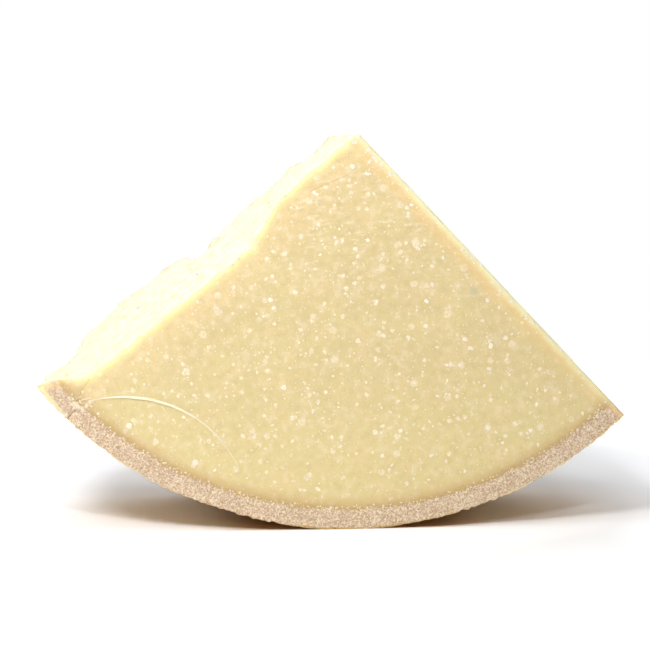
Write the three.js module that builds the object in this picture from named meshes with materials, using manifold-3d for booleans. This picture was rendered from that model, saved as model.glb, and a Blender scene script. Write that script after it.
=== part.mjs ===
// A chunk of an aged hard cheese wheel: a quarter turn of the wheel, halved at mid height.
// It lies on its rind with the wheel's axis level. The broken side faces up and left, the clean
// cut faces up and right, the flat mid-height cut faces -Y and the wheel's plate faces +Y.
// Millimetres, +Z up. The origin is on the floor, in the middle of the flat spot it rests on.

import * as THREE from 'three';
import { mergeVertices } from 'three/addons/utils/BufferGeometryUtils.js';
import { ImprovedNoise } from 'three/addons/math/ImprovedNoise.js';
import Module from 'manifold-3d';

// The wheel it was cut from
const wheelRadius = 215;
const pieceDepth = 115; // from the mid-height cut to the plate
const shoulderRadius = 14; // rounding between rim and plate
const shoulderStep = 22.5; // degrees of that rounding for each facet
const plateRings = 5;
const restingFlat = 0.35; // how far the rind is worn flat where it rests
const wheelSegment = 1.5; // degrees of rim for each facet
const rimStep = 8; // facet length across the rim
const rindUnevenness = { rim: 0.9, plate: 0.7, wavelength: 34 };
const footEdge = { from: 4, to: 12 }; // degrees from straight down, below which the rind stays true

// The two sides that meet at the tip, measured in the cut plane
const axisHeight = wheelRadius - restingFlat;
const frontY = -pieceDepth / 2;
const tip = new THREE.Vector3(2.9, 0, 211.2);
const tipTop = 210; // the sharp tip is worn down to this height
const brokenCorner = rimPoint(-50.4);
const cutCorner = rimPoint(43.7);
const overhang = 14; // how far the side reliefs reach past the chunk
const sideWidening = 3; // the block below a side relief is this many times wider at its bottom

// Relief of the broken side: (along) is measured from the tip, (behind) from the mid-height cut
const brokenCell = 4.4;
const cutCell = 10;
const scoop = { deep: 8, start: 50, full: 76, fades: 187, ends: 211, behind: 22, gone: 86 };
const ledge = { deep: 4, start: 74, full: 81, fades: 186, ends: 205, behind: 30, gone: 96 };
const backShelf = { deep: 3, start: 72, full: 82, fades: 106, ends: 118, behind: 108, gone: 50 };
const backSwell = { deep: -1.8, start: -20, full: -10, fades: 240, ends: 260, behind: 80, gone: 30 };
const backCorner = { deep: 4.5, start: 184, full: 208, fades: 260, ends: 270, behind: 112, gone: 70 };
const backNotch = { along: 106, halfWidth: 9, deep: 5, starts: 62, full: 104 };
const flakeScars = { count: 110, smallest: 7, largest: 21, shallow: 0.11, steep: 0.2 };
const calmEdge = { width: 9, share: 0.35 }; // the scars are shallower beside the mid-height cut
const cutWaviness = { deep: 0.5, wavelength: 40 };

// A curved sliver that the wire lifted from the cut face, and a crack that runs in from the rind
const sliver = { x: -119.3, z: 7.6, radius: 65.5, middle: 24.5, half: 41.5, thick: 1.7, steps: 14 };
const sliverDepth = { proud: 0.9, root: 2 }; // in front of the cut face, and inside it
const crack = { angle: -44.2, lean: 22, length: 27, mouth: 2.6, beyondRim: 2 };
const crackDepth = { proud: 1, root: 7 };

const weldDistance = 0.001;

const wasm = await Module();
wasm.setup();
const noise = new ImprovedNoise();
const { smoothstep, degToRad, lerp } = THREE.MathUtils;

// A point of the rim in the cut plane, at an angle in degrees from straight down
function rimPoint(angle, inwards = 0) {
  const turn = THREE.MathUtils.degToRad(angle);
  const radius = wheelRadius - inwards;
  return new THREE.Vector3(radius * Math.sin(turn), 0, axisHeight - radius * Math.cos(turn));
}

// A repeatable random draw between two values
const drawRule = { multiply: 1664525, add: 1013904223, range: 2 ** 32 };
let drawState = 1996;
function draw(low, high) {
  drawState = (Math.imul(drawState, drawRule.multiply) + drawRule.add) >>> 0;
  return lerp(low, high, drawState / drawRule.range);
}

// A closed geometry as a solid, without the faces that collapse on an axis
function toSolid(geometry) {
  geometry.deleteAttribute('normal');
  geometry.deleteAttribute('uv');
  const merged = mergeVertices(geometry, weldDistance);
  const index = merged.index.array;
  const triVerts = [];
  for (let i = 0; i < index.length; i += 3) {
    const [a, b, c] = [index[i], index[i + 1], index[i + 2]];
    if (a !== b && b !== c && c !== a) triVerts.push(a, b, c);
  }
  const vertProperties = merged.attributes.position.array;
  return new wasm.Manifold(
    new wasm.Mesh({ numProp: 3, vertProperties, triVerts: Uint32Array.from(triVerts) })
  );
}

// Moves every vertex of a geometry by a function that changes the point it is given
function reshape(geometry, move) {
  const position = geometry.attributes.position;
  const point = new THREE.Vector3();
  for (let i = 0; i < position.count; i += 1) {
    point.fromBufferAttribute(position, i);
    move(point);
    position.setXYZ(i, point.x, point.y, point.z);
  }
  return geometry;
}

// Smooth noise from 0 to 1 in three dimensions
function unevenness(point, wavelength) {
  return 0.5 + 0.5 * noise.noise(point.x / wavelength, point.y / wavelength, point.z / wavelength);
}

// Half a wheel with a rounded shoulder, turned about its level axis, with slightly uneven rind
function halfWheel() {
  const backY = pieceDepth / 2;
  const profile = [0, wheelRadius].map((radius) => new THREE.Vector2(radius, frontY - overhang));
  const shoulderY = backY - shoulderRadius;
  const rimSteps = Math.round((shoulderY - frontY) / rimStep);
  for (let i = 0; i <= rimSteps; i += 1) {
    profile.push(new THREE.Vector2(wheelRadius, lerp(frontY, shoulderY, i / rimSteps)));
  }
  for (let turn = shoulderStep; turn <= 90; turn += shoulderStep) {
    const angle = degToRad(turn);
    const inwards = shoulderRadius * (1 - Math.cos(angle));
    profile.push(new THREE.Vector2(wheelRadius - inwards, shoulderY + shoulderRadius * Math.sin(angle)));
  }
  for (let ring = plateRings - 1; ring >= 0; ring -= 1) {
    profile.push(new THREE.Vector2((wheelRadius * ring) / plateRings, backY));
  }

  const wheel = new THREE.LatheGeometry(profile, Math.round(360 / wheelSegment));
  return reshape(wheel, (point) => {
    const radius = Math.hypot(point.x, point.z);
    const fromBottom = Math.abs(THREE.MathUtils.radToDeg(Math.atan2(point.x, -point.z)));
    const rough = unevenness(point, rindUnevenness.wavelength);
    if (radius > wheelRadius - shoulderRadius) {
      const worn = rindUnevenness.rim * rough * smoothstep(fromBottom, footEdge.from, footEdge.to);
      point.multiply(new THREE.Vector3(1 - worn / radius, 1, 1 - worn / radius));
    } else if (point.y > 0 && radius > 1) {
      point.y -= rindUnevenness.plate * rough;
    }
    point.z += axisHeight;
  });
}

// How much of a dent is present: it ramps up and down along the side and fades with depth
function dent(shape, along, behind) {
  const rise = smoothstep(along, shape.start, shape.full);
  const fall = 1 - smoothstep(along, shape.fades, shape.ends);
  const depthwise = (behind - shape.gone) / (shape.behind - shape.gone);
  return shape.deep * rise * fall * smoothstep(depthwise, 0, 1);
}

// Shell-shaped scars where flakes of cheese came away, spread over the broken side
const brokenLength = brokenCorner.distanceTo(tip);
const scars = Array.from({ length: flakeScars.count }, () => {
  const radius = lerp(flakeScars.smallest, flakeScars.largest, draw(0, 1) ** 2);
  return {
    along: draw(0, brokenLength),
    behind: draw(0, pieceDepth),
    radius,
    deep: radius * draw(flakeScars.shallow, flakeScars.steep),
  };
});

// The deepest scar at a place on the broken side, so that neighbours meet in sharp ridges
function scarDepth(along, behind) {
  let deepest = 0;
  for (const scar of scars) {
    const away = Math.hypot(along - scar.along, behind - scar.behind) / scar.radius;
    deepest = Math.max(deepest, scar.deep * (1 - away * away));
  }
  return deepest * lerp(calmEdge.share, 1, smoothstep(behind, 0, calmEdge.width));
}

function brokenRelief(along, behind) {
  const notchAcross = (along - backNotch.along) / backNotch.halfWidth;
  const notch = Math.exp(-notchAcross * notchAcross) * smoothstep(behind, backNotch.starts, backNotch.full);
  const shapes = [scoop, ledge, backSwell, backShelf, backCorner];
  const dents = shapes.reduce((sum, shape) => sum + dent(shape, along, behind), 0);
  return -dents - backNotch.deep * notch - scarDepth(along, behind);
}

function cutRelief(along, behind) {
  const place = new THREE.Vector3(along, behind, 0);
  return -cutWaviness.deep * unevenness(place, cutWaviness.wavelength);
}

// A thick block that widens downwards, whose top is one side of the chunk, from tip to rim corner
function sideBlock(corner, outwards, cell, relief) {
  const along = corner.clone().sub(tip).normalize();
  const normal = new THREE.Vector3(-along.z, 0, along.x).multiplyScalar(outwards);
  const length = corner.distanceTo(tip) + 2 * overhang;
  const depth = pieceDepth + 2 * overhang;
  const cells = [Math.round(length / cell), Math.round(depth / cell)];
  const block = new THREE.BoxGeometry(length, depth, 2 * wheelRadius, ...cells, 1);
  const across = normal.clone().cross(along);
  const place = new THREE.Matrix4().makeBasis(along, across, normal);
  return reshape(block, (point) => {
    const isTop = point.z > 0;
    if (!isTop) point.multiply(new THREE.Vector3(sideWidening, sideWidening, 1));
    point.x += length / 2 - overhang;
    point.z = isTop ? relief(point.x, point.y * across.y - frontY) : -2 * wheelRadius;
    point.applyMatrix4(place).add(tip);
  });
}

// Everything between the mid-height cut and beyond the plate, from the floor to the worn tip
function trimBlock() {
  const depth = pieceDepth + overhang;
  const block = new THREE.BoxGeometry(3 * wheelRadius, depth, tipTop);
  return block.translate(0, frontY + depth / 2, tipTop / 2);
}

// Stands a flat outline in the cut face, reaching from (root) inside it to (proud) in front of it
function onCutFace(outline, { root, proud }) {
  const extrusion = { depth: root + proud, bevelEnabled: false, curveSegments: sliver.steps };
  const plate = new THREE.ExtrudeGeometry(outline, extrusion);
  return plate.rotateX(Math.PI / 2).translate(0, frontY + root, 0);
}

// A crescent that tapers to a point at both ends
function sliverOutline() {
  const middle = degToRad(90 - sliver.middle);
  const half = degToRad(sliver.half);
  const halfChord = sliver.radius * Math.sin(half);
  const innerRise = sliver.radius * (1 - Math.cos(half)) - sliver.thick;
  const innerRadius = (halfChord ** 2 + innerRise ** 2) / (2 * innerRise);
  const innerHalf = Math.asin(halfChord / innerRadius);
  const shift = sliver.radius - sliver.thick - innerRadius;
  const innerX = sliver.x + shift * Math.cos(middle);
  const innerZ = sliver.z + shift * Math.sin(middle);
  const outline = new THREE.Shape();
  outline.absarc(sliver.x, sliver.z, sliver.radius, middle - half, middle + half, false);
  outline.absarc(innerX, innerZ, innerRadius, middle + innerHalf, middle - innerHalf, true);
  return outline;
}

// A long thin wedge that opens at the rim
function crackOutline() {
  const turn = degToRad(crack.lean);
  const inwards = new THREE.Vector2(Math.sin(turn), Math.cos(turn));
  const across = new THREE.Vector2(inwards.y, -inwards.x).multiplyScalar(crack.mouth / 2);
  const atRim = rimPoint(crack.angle, -crack.beyondRim);
  const mouth = new THREE.Vector2(atRim.x, atRim.z);
  const end = inwards.multiplyScalar(crack.length).add(mouth);
  return new THREE.Shape([mouth.clone().add(across), end, mouth.clone().sub(across)]);
}

function cheeseChunk() {
  const broken = toSolid(sideBlock(brokenCorner, -1, brokenCell, brokenRelief));
  const cut = toSolid(sideBlock(cutCorner, 1, cutCell, cutRelief));
  const chunk = toSolid(halfWheel())
    .intersect(broken)
    .intersect(cut)
    .intersect(toSolid(trimBlock()))
    .subtract(toSolid(onCutFace(crackOutline(), crackDepth)))
    .add(toSolid(onCutFace(sliverOutline(), sliverDepth)));
  const { vertProperties, triVerts } = chunk.getMesh();
  const geometry = new THREE.BufferGeometry();
  geometry.setAttribute('position', new THREE.BufferAttribute(vertProperties, 3));
  geometry.setIndex(new THREE.BufferAttribute(triVerts, 1));
  geometry.computeVertexNormals();
  return geometry;
}

const cheese = new THREE.MeshStandardMaterial({ color: 0xe2d199, roughness: 0.55, metalness: 0 });
const chunk = new THREE.Mesh(cheeseChunk(), cheese);
chunk.name = 'cheese_chunk';

const part = new THREE.Group();
part.add(chunk);

export default part;
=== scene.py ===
import math
import random

import bmesh
import bpy
import numpy as np
from mathutils import Matrix, Vector, noise


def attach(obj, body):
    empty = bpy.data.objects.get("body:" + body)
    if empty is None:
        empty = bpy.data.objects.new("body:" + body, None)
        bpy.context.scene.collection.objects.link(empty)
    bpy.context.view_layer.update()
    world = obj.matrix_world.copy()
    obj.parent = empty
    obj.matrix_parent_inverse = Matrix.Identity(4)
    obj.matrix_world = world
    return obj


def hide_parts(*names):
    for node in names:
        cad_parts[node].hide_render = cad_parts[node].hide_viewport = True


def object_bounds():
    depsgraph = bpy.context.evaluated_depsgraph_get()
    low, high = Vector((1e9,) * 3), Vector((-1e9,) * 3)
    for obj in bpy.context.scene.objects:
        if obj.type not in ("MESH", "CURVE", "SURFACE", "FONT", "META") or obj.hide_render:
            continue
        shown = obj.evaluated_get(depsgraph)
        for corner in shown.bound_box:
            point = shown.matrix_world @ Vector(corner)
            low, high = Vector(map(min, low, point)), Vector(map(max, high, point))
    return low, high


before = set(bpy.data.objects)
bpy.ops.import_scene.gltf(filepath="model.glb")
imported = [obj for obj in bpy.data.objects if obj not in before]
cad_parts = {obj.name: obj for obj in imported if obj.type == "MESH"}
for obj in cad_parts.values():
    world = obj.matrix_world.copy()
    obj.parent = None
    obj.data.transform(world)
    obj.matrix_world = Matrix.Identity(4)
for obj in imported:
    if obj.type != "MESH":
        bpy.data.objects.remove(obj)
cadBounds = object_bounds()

# Everything is worked out in millimetres and scaled to metres at the end.
# X runs right along the flat mid-height cut, which faces -Y, and the wheel's axis is level.
metres = 0.001

# The wheel that the chunk was cut from, and the chunk's place in it
wheel = {
    "radius": 215.0,
    "depth": 115.0,  # mid-height cut to the plate
    "axisHeight": 214.65,
    "shoulder": 14.0,  # rounding between rim and plate
    "tip": (2.9, 211.2),  # where the two sides would meet
    "tipTop": 210.0,  # the tip is worn down to here
    "overhang": 14.0,  # how far the cutting blocks reach past the chunk
}
frontY = -wheel["depth"] / 2
backY = wheel["depth"] / 2
boxLow, boxHigh = (np.array(corner) / metres for corner in cadBounds)


def smoothStep(value, low, high):
    share = np.clip((value - low) / (high - low), 0.0, 1.0)
    return share * share * (3.0 - 2.0 * share)


def between(low, high, share):
    return low + (high - low) * share


def rimPoint(angle):
    turn = math.radians(angle)
    return wheel["radius"] * math.sin(turn), wheel["axisHeight"] - wheel["radius"] * math.cos(turn)


def fractalNoise(points, wavelength, octaves, seed):  # about -1 to 1 at each point
    shift = Vector((seed * 13.7, seed * 7.1, seed * 3.3))
    places = (Vector(point) / wavelength + shift for point in points)
    return np.array([noise.fractal(place, 1.0, 2.0, octaves) for place in places])


def noiseRelief(points, settings, octaves, seed):  # up and down by about the full depth
    return settings["deep"] * fractalNoise(points, settings["wavelength"], octaves, seed)


def wornAway(points, settings, octaves, seed):  # from nothing to the full depth
    return settings["deep"] * (0.5 + 0.5 * fractalNoise(points, settings["wavelength"], octaves, seed))


def addObject(name, data):
    piece = bpy.data.objects.new(name, data)
    bpy.context.scene.collection.objects.link(piece)
    return piece


def newObject(name, bm):
    mesh = bpy.data.meshes.new(name)
    bm.to_mesh(mesh)
    bm.free()
    return addObject(name, mesh)


def bake(piece):  # applies the piece's modifiers, or makes a curve a mesh
    bpy.context.view_layer.update()
    evaluated = piece.evaluated_get(bpy.context.evaluated_depsgraph_get())
    return bpy.data.meshes.new_from_object(evaluated)


def fillHoles(bm):
    gaps = [edge for edge in bm.edges if edge.is_boundary]
    return bmesh.ops.holes_fill(bm, edges=gaps)["faces"]


def spinProfile(bm, places, centre, start, sweep, steps):  # turns an outline about a level axis
    verts = [bm.verts.new(place) for place in places]
    bm.faces.new(verts)
    bmesh.ops.rotate(bm, verts=verts, cent=centre, matrix=Matrix.Rotation(start, 3, "Y"))
    bmesh.ops.spin(
        bm, geom=bm.verts[:] + bm.edges[:] + bm.faces[:], cent=centre, axis=(0.0, 1.0, 0.0),
        angle=sweep, steps=steps, use_duplicate=False,
    )


def writeAttribute(piece, name, values):
    attribute = piece.data.attributes.new(name, "FLOAT", "POINT")
    attribute.data.foreach_set("value", np.asarray(values, dtype=np.float32))


# Relief of the sides: along is measured from the tip, behind from the mid-height cut
brokenSide = {
    "angle": -50.4,  # of its rim corner, in degrees from straight down
    "outwards": -1,
    "cell": 0.95,
    "dents": [
        {"deep": 8.0, "start": 50, "full": 76, "fades": 187, "ends": 211, "behind": 22, "gone": 86},
        {"deep": 4.0, "start": 74, "full": 81, "fades": 186, "ends": 205, "behind": 30, "gone": 96},
        {"deep": -1.8, "start": -20, "full": -10, "fades": 240, "ends": 260, "behind": 80, "gone": 30},
        {"deep": 3.0, "start": 72, "full": 82, "fades": 106, "ends": 118, "behind": 108, "gone": 50},
        {"deep": 12.0, "start": 182, "full": 210, "fades": 260, "ends": 270, "behind": 102, "gone": 52},
    ],
    "notch": {"along": 106, "halfWidth": 9, "deep": 5, "starts": 62, "full": 104},
    "scars": {"count": 110, "smallest": 7, "largest": 21, "shallow": 0.11, "steep": 0.2, "seed": 1996},
    "chips": {"count": 2600, "smallest": 1.4, "largest": 6.0, "shallow": 0.14, "steep": 0.26, "seed": 7},
    "calmEdge": {"width": 9, "share": 0.35},
    "grain": {"deep": 0.5, "wavelength": 2.2},
    "strata": {"step": 0.9, "thickness": 3.4, "waviness": 26.0, "slope": 0.35, "bend": 2.2},
    "foliation": {"deep": 0.6, "wavelength": 3.2, "stretch": 0.22},
}
cutSide = {
    "angle": 43.7,
    "outwards": 1,
    "cell": 2.2,
    "wave": {"deep": 0.5, "wavelength": 40.0},
    "grain": {"deep": 0.1, "wavelength": 4.0},
}


def spreadScars(settings, length, drawNumber):
    scars = []
    for _ in range(settings["count"]):
        radius = between(settings["smallest"], settings["largest"], drawNumber() ** 2)
        along, behind = drawNumber() * length, drawNumber() * wheel["depth"]
        steepness = between(settings["shallow"], settings["steep"], drawNumber())
        scars.append((along, behind, radius, radius * steepness))
    return scars


def scarDepth(along, behind, scars):  # neighbours meet in sharp ridges
    deepest = np.zeros(len(along))
    order = np.argsort(along)
    sortedAlong = along[order]
    for scarAlong, scarBehind, radius, deep in scars:
        first, last = np.searchsorted(sortedAlong, (scarAlong - radius, scarAlong + radius))
        near = order[first:last]
        away = ((along[near] - scarAlong) ** 2 + (behind[near] - scarBehind) ** 2) / radius ** 2
        deepest[near] = np.maximum(deepest[near], deep * (1.0 - away))
    return deepest


def repeatableDraw(state):  # the same scars as the solid's
    def draw():
        nonlocal state
        state = (state * 1664525 + 1013904223) % 2 ** 32
        return state / 2 ** 32
    return draw


def brokenRelief(along, behind, length):
    height = np.zeros(len(along))
    for dent in brokenSide["dents"]:
        rise = smoothStep(along, dent["start"], dent["full"])
        fall = 1 - smoothStep(along, dent["fades"], dent["ends"])
        depthwise = (behind - dent["gone"]) / (dent["behind"] - dent["gone"])
        height -= dent["deep"] * rise * fall * smoothStep(depthwise, 0, 1)
    notch = brokenSide["notch"]
    across = (along - notch["along"]) / notch["halfWidth"]
    height -= notch["deep"] * np.exp(-across * across) * smoothStep(behind, notch["starts"], notch["full"])
    calm = brokenSide["calmEdge"]
    atEdge = between(calm["share"], 1, smoothStep(behind, 0, calm["width"]))
    scars = spreadScars(brokenSide["scars"], length, repeatableDraw(brokenSide["scars"]["seed"]))
    height -= scarDepth(along, behind, scars) * atEdge
    chips = spreadScars(brokenSide["chips"], length, random.Random(brokenSide["chips"]["seed"]).random)
    height -= scarDepth(along, behind, chips) * (0.5 + 0.5 * atEdge)
    points = np.column_stack((along, behind, height))
    strata = brokenSide["strata"]
    level = (height + behind * strata["slope"]) / strata["thickness"]
    level = level + strata["bend"] * fractalNoise(points, strata["waviness"], 3, 5.0)
    within = level % 1.0
    height += strata["step"] * (smoothStep(within, 0.1, 0.9) - within) * atEdge
    foliation = brokenSide["foliation"]
    leaves = points * (foliation["stretch"], 1.0, 1.0)
    height += noiseRelief(leaves, foliation, 3, 15.0) * atEdge
    return height + noiseRelief(points, brokenSide["grain"], 3, 1.0)


def cutRelief(along, behind, length):  # only faint waves, whatever the length
    points = np.column_stack((along, behind, np.zeros(len(along))))
    return noiseRelief(points, cutSide["grain"], 2, 3.0) - wornAway(points, cutSide["wave"], 1, 2.0)


def gridBlock(width, depth, cells, thickness):  # a dense top face at z = 0 on a body that widens downwards
    bm = bmesh.new()
    size = Matrix.Diagonal((width / 2, depth / 2, 1.0, 1.0))
    bmesh.ops.create_grid(bm, x_segments=cells[0], y_segments=cells[1], size=1.0, matrix=size)
    rim = [edge for edge in bm.edges if edge.is_boundary]
    extruded = bmesh.ops.extrude_edge_only(bm, edges=rim)["geom"]
    lower = [item for item in extruded if isinstance(item, bmesh.types.BMVert)]
    bmesh.ops.scale(bm, vec=(3.0, 3.0, 1.0), verts=lower)
    bmesh.ops.translate(bm, vec=(0.0, 0.0, -thickness), verts=lower)
    fillHoles(bm)
    bmesh.ops.recalc_face_normals(bm, faces=bm.faces)
    return bm


class Side:  # one of the two faces that meet at the tip, with its relief on a regular grid
    def __init__(self, settings, relief):
        corner = rimPoint(settings["angle"])
        self.tip = Vector((wheel["tip"][0], 0.0, wheel["tip"][1]))
        toCorner = Vector((corner[0], 0.0, corner[1])) - self.tip
        self.length = toCorner.length
        self.along = toCorner.normalized()
        self.normal = Vector((-self.along.z, 0.0, self.along.x)) * settings["outwards"]
        overhang = wheel["overhang"]
        self.size = (self.length + 2 * overhang, wheel["depth"] + 2 * overhang)
        self.cells = [round(size / settings["cell"]) for size in self.size]
        alongs, behinds = np.meshgrid(
            np.linspace(0, self.size[0], self.cells[0] + 1) - overhang,
            np.linspace(0, self.size[1], self.cells[1] + 1) - overhang, indexing="ij",
        )
        self.heights = relief(alongs.ravel(), behinds.ravel(), self.length).reshape(alongs.shape)

    def sample(self, table, along, behind):
        overhang = wheel["overhang"]
        u = np.clip((along + overhang) / self.size[0], 0, 0.9999) * self.cells[0]
        v = np.clip((behind + overhang) / self.size[1], 0, 0.9999) * self.cells[1]
        i, j = u.astype(int), v.astype(int)
        u, v = u - i, v - j
        near = table[i, j] * (1 - u) + table[i + 1, j] * u
        far = table[i, j + 1] * (1 - u) + table[i + 1, j + 1] * u
        return near * (1 - v) + far * v

    def measure(self, points):  # along, behind and depth under the face
        fromTip = points - np.array(self.tip)
        along = fromTip @ np.array(self.along)
        behind = points[:, 1] - frontY
        return along, behind, self.sample(self.heights, along, behind) - fromTip @ np.array(self.normal)

    def block(self, name):
        bm = gridBlock(*self.size, self.cells, 2 * wheel["radius"])
        across = self.normal.cross(self.along)
        middle = self.size[0] / 2 - wheel["overhang"]
        top = [vert for vert in bm.verts if vert.co.z > -1.0]
        alongs = np.array([vert.co.x for vert in top]) + middle
        behinds = np.array([vert.co.y for vert in top]) * across.y - frontY
        for vert, height in zip(top, self.sample(self.heights, alongs, behinds)):
            vert.co.z = height
        bmesh.ops.translate(bm, vec=(middle, 0.0, 0.0), verts=bm.verts)
        turn = Matrix((self.along, across, self.normal)).transposed().to_4x4()
        bmesh.ops.transform(bm, matrix=Matrix.Translation(self.tip) @ turn, verts=bm.verts)
        return newObject(name, bm)


# The flat cut face: its edges are worn round, and a crack runs in from the rind
frontFace = {
    "cell": 1.2,
    "size": (2 * 168.0, 214.0),
    "wave": {"deep": 0.12, "wavelength": 30.0},
    "grain": {"deep": 0.05, "wavelength": 2.4},
    "drag": {
        "deep": 0.05, "wavelength": 1.9, "stretch": 0.1, "from": 80.0, "full": 150.0,
        "bow": (60.0, -260.0),  # middle of the arcs that the wire drew
    },
    "rindGrain": {"deep": 0.4, "wavelength": 2.2, "from": 204.0, "full": 205.5},
    "brokenWear": 3.4,
    "cutWear": 1.5,
    "rimWear": 0.7,
    "rimInset": 0.4,  # the rim's wear starts this far inside the wheel's radius
    "unevenWear": {"share": 0.45, "wavelength": 9.0},
    "crack": [(-150.0, 60.0), (-146.6, 64.0), (-143.9, 69.8), (-142.3, 74.2), (-137.4, 82.0)],
    "crackWidth": (1.5, 0.35),  # at the rim and at its end
    "crackDepth": (1.9, 0.3),
}


def roundOff(distance, radius):  # how far a rounded edge falls back, at a distance in from the edge
    inside = np.clip(radius - distance, 0.0, radius)
    return radius - np.sqrt(radius * radius - inside * inside)


def crackProfile(across, up):
    points = [np.array(point) for point in frontFace["crack"]]
    places = np.column_stack((across, up))
    deepest = np.zeros(len(across))
    for step, (start, end) in enumerate(zip(points, points[1:])):
        line = end - start
        share = np.clip((places - start) @ line / (line @ line), 0.0, 1.0)
        away = np.linalg.norm(places - start - share[:, None] * line, axis=1)
        run = (step + share) / (len(points) - 1)
        width, deep = between(*frontFace["crackWidth"], run), between(*frontFace["crackDepth"], run)
        deepest = np.maximum(deepest, deep * np.exp(-(away / width) ** 2))
    return deepest


def frontRelief(across, up, broken, cut):
    points = np.column_stack((across, np.full(len(across), frontY), up))
    radius = np.hypot(across, up - wheel["axisHeight"])
    drag, grain = frontFace["drag"], frontFace["rindGrain"]
    height = noiseRelief(points, frontFace["wave"], 2, 4.0) + noiseRelief(points, frontFace["grain"], 2, 7.0)
    bow = np.hypot(across - drag["bow"][0], up - drag["bow"][1])
    lines = np.column_stack((across * drag["stretch"], np.zeros(len(across)), bow))
    dragged = smoothStep(up, drag["from"], drag["full"])
    height += dragged * noiseRelief(lines, drag, 3, 6.0)
    inRind = smoothStep(radius, grain["from"], grain["full"])
    height += inRind * (noiseRelief(points, grain, 2, 8.0) - 0.6 * grain["deep"])
    uneven = frontFace["unevenWear"]
    wear = 1.0 + uneven["share"] * fractalNoise(points, uneven["wavelength"], 2, 13.0)
    fromRim = wheel["radius"] - frontFace["rimInset"] - radius
    height -= roundOff(broken.measure(points)[2], frontFace["brokenWear"] * wear)
    height -= roundOff(cut.measure(points)[2], frontFace["cutWear"] * wear)
    height -= roundOff(fromRim, frontFace["rimWear"] * wear)
    return height - crackProfile(across, up)


def frontBlock(broken, cut):
    width, tall = frontFace["size"]
    cells = [round(size / frontFace["cell"]) for size in (width, tall)]
    bm = gridBlock(width, tall, cells, 2 * wheel["radius"])
    top = [vert for vert in bm.verts if vert.co.z > -1.0]
    middle = tall / 2 - 2.0
    across = np.array([vert.co.x for vert in top])
    up = np.array([vert.co.y for vert in top]) + middle
    for vert, height in zip(top, frontRelief(across, up, broken, cut)):
        vert.co.z = height
    stand = Matrix.Translation((0.0, frontY, middle)) @ Matrix.Rotation(math.pi / 2, 4, "X")
    bmesh.ops.transform(bm, matrix=stand, verts=bm.verts)
    return newObject("frontBlock", bm)


# The rind: rim, rounded shoulder and plate
rind = {
    "arcStep": 1.1,
    "rimStep": 2.3,
    "plateStep": 9.0,
    "shoulderSteps": 8,
    "innerRadius": 2.0,
    "spare": 8.0,  # degrees turned past each side, for the cutting blocks to take away
    "wear": {"deep": 0.9, "wavelength": 34.0, "calmTo": 4.0, "fullFrom": 12.0},
    "plateWear": {"deep": 0.7, "wavelength": 34.0},
    "grain": {"deep": 0.16, "wavelength": 2.8},
    "plateGrain": {"deep": 0.16, "wavelength": 6.0},
    "dents": {"count": 900, "smallest": 1.2, "largest": 2.6, "deep": 0.75, "seed": 3},
    "nicks": {"spacing": 3.6, "deep": 1.3, "width": 0.8, "reach": 5.0, "seed": 5},
}


def nickedRim(arc, behind, reach):  # depth of the short cuts along the rim's front edge
    nicks = rind["nicks"]
    draw = random.Random(nicks["seed"])
    deep = np.zeros(len(arc))
    place = -reach
    while place < reach:
        place += nicks["spacing"] * draw.uniform(0.4, 1.6)
        width = nicks["width"] * draw.uniform(0.7, 1.5)
        fade = 1 - smoothStep(behind, 0.5, nicks["reach"] * draw.uniform(0.5, 1.5))
        deep += nicks["deep"] * draw.uniform(0.2, 1.0) * np.exp(-((arc - place) / width) ** 2) * fade
    return deep


def dentedRim(arc, behind, reach):
    dents = rind["dents"]
    draw = random.Random(dents["seed"])
    spots = []
    for _ in range(dents["count"]):
        radius = draw.uniform(dents["smallest"], dents["largest"])
        place = draw.uniform(-reach, reach), draw.uniform(0.0, wheel["depth"])
        spots.append((*place, radius, dents["deep"] * draw.uniform(0.4, 1.0)))
    return scarDepth(arc, behind, spots)


def rimRelief(arc, behind, angle):
    points = np.column_stack((arc, behind, np.zeros(len(arc))))
    wear = rind["wear"]
    height = noiseRelief(points, rind["grain"], 3, 10.0) - wornAway(points, wear, 2, 9.0)
    reach = max(abs(arc.min()), arc.max())
    height -= dentedRim(arc, behind, reach)
    height -= nickedRim(arc, behind, reach)
    return height * smoothStep(np.abs(angle), wear["calmTo"], wear["fullFrom"])


def wheelProfile():  # radius and depth, from the middle of the cut round to the middle of the plate
    radius, shoulder, inner = wheel["radius"], wheel["shoulder"], rind["innerRadius"]
    start, end = frontY - wheel["overhang"], backY - shoulder
    profile = [(inner, start)]
    profile += [(radius, depth) for depth in np.linspace(start, end, round((end - start) / rind["rimStep"]))]
    for turn in np.linspace(0.0, math.pi / 2, rind["shoulderSteps"] + 1)[1:]:
        profile.append((radius - shoulder * (1 - math.cos(turn)), end + shoulder * math.sin(turn)))
    rings = round((radius - shoulder - inner) / rind["plateStep"])
    profile += [(distance, backY) for distance in np.linspace(radius - shoulder, inner, rings)[1:]]
    return profile


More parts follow.
